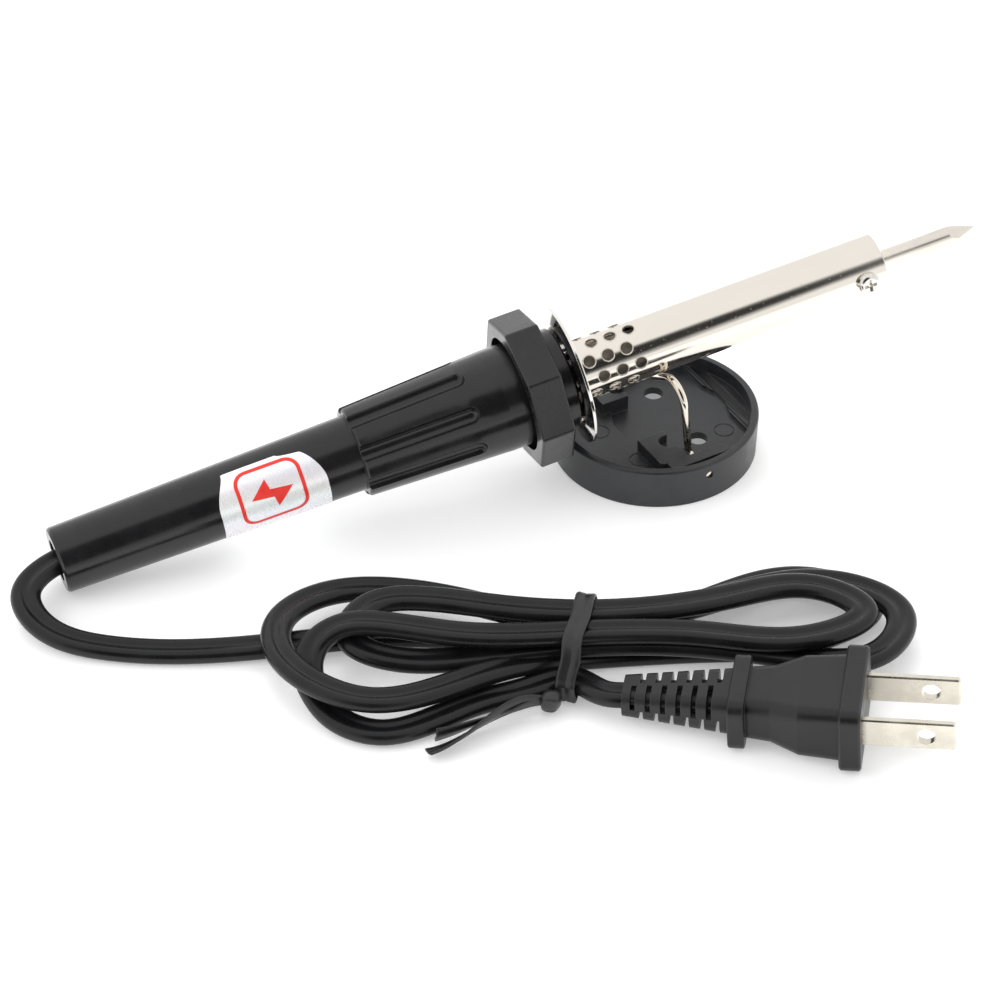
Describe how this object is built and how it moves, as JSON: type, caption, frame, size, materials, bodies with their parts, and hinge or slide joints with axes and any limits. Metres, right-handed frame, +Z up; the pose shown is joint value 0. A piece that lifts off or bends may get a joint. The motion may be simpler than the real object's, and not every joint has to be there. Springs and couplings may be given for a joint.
{
  "type": "soldering iron stand",
  "caption": "Round bench stand with a fold-down wire rest, and the corded pencil soldering iron lying in it, its flex tied in a flat coil with a moulded plug.",
  "frame": {"origin": "centre of the stand's round base, on the bench", "axes": "+Z up; Y along the wire rest's hinge line; the iron's tip points towards +X and its handle towards -X; the coiled cord lies on the -Y side"},
  "size_m": [0.2081, 0.1396, 0.04],
  "materials": {
    "base_dish": "satin black moulded plastic",
    "wire_rest": "bright plated spring wire",
    "soldering_tip": "plated shank, dull tinned point",
    "tip_set_screw": "bright plated",
    "barrel_bushing": "fine turned",
    "barrel_tube": "mirror plated, slightly warm",
    "flange_disc": "mirror plated",
    "flange_screws": "zinc plated",
    "heater_core": "matt white ceramic",
    "heater_winding": "oxidised resistance wire",
    "mica_sleeve": "grey-brown mica",
    "ceramic_spacer": "matt white ceramic",
    "lead_wires": "bare nickel wire",
    "lead_sleeves": "woven glass sleeve",
    "crimp_connectors": "tinned brass",
    "handle_shell": "polished black moulded plastic",
    "finger_guard": "polished black moulded plastic",
    "rating_label": "silvered label stock",
    "cord_tail": "satin black vinyl",
    "cord_bush": "matt black",
    "power_cord": "satin black vinyl",
    "cord_tie": "black flat tie",
    "plug_body": "satin black vinyl",
    "plug_bridge": "black moulded insert",
    "plug_blades": "nickel-plated brass"
  },
  "bodies": {
    "stand": {"base_dish": "base_dish"},
    "rest": {"wire_rest": "wire_rest"},
    "iron": {"barrel_tube": "barrel_tube", "barrel_bushing": "barrel_bushing", "flange_disc": "flange_disc", "flange_screws": "flange_screws", "heater_core": "heater_core", "heater_winding": "heater_winding", "mica_sleeve": "mica_sleeve", "ceramic_spacer": "ceramic_spacer", "lead_wires": "lead_wires", "lead_sleeves": "lead_sleeves", "crimp_connectors": "crimp_connectors", "handle_shell": "handle_shell", "finger_guard": "finger_guard", "rating_label": "rating_label", "cord_tail": "cord_tail", "cord_bush": "cord_bush"},
    "tip": {"soldering_tip": "soldering_tip"},
    "set_screw": {"tip_set_screw": "tip_set_screw"},
    "cord_bundle": {"power_cord": "power_cord", "cord_tie": "cord_tie", "plug_body": "plug_body", "plug_bridge": "plug_bridge", "plug_blades": "plug_blades"}
  },
  "joints": [
    {"name": "rest_fold", "type": "hinge", "parent": "stand", "child": "rest", "pos_m": [0, 0, 0.0062], "axis": [0, 1, 0], "range_deg": [0, 88]},
    {"name": "iron_lift", "type": "slide", "parent": "stand", "child": "iron", "axis": [0, 0, 1], "range_m": [0, 0.04]},
    {"name": "cord_flex", "type": "slide", "parent": "iron", "child": "cord_bundle", "axis": [0, 0, -1], "range_m": [0, 0.04], "deforming": ["power_cord"]},
    {"name": "tip_pull", "type": "slide", "parent": "iron", "child": "tip", "axis": [0.9763, -0.1546, 0.1516], "range_m": [0, 0.025]},
    {"name": "screw_turn", "type": "hinge", "parent": "iron", "child": "set_screw", "pos_m": [0.04304, -0.00704, 0.03293], "axis": [-0.1779, -0.9718, 0.1546], "range_deg": [0, 540]}
  ],
  "couplings": [
    {"joint": "cord_flex", "follows": "iron_lift", "ratio": 1}
  ]
}
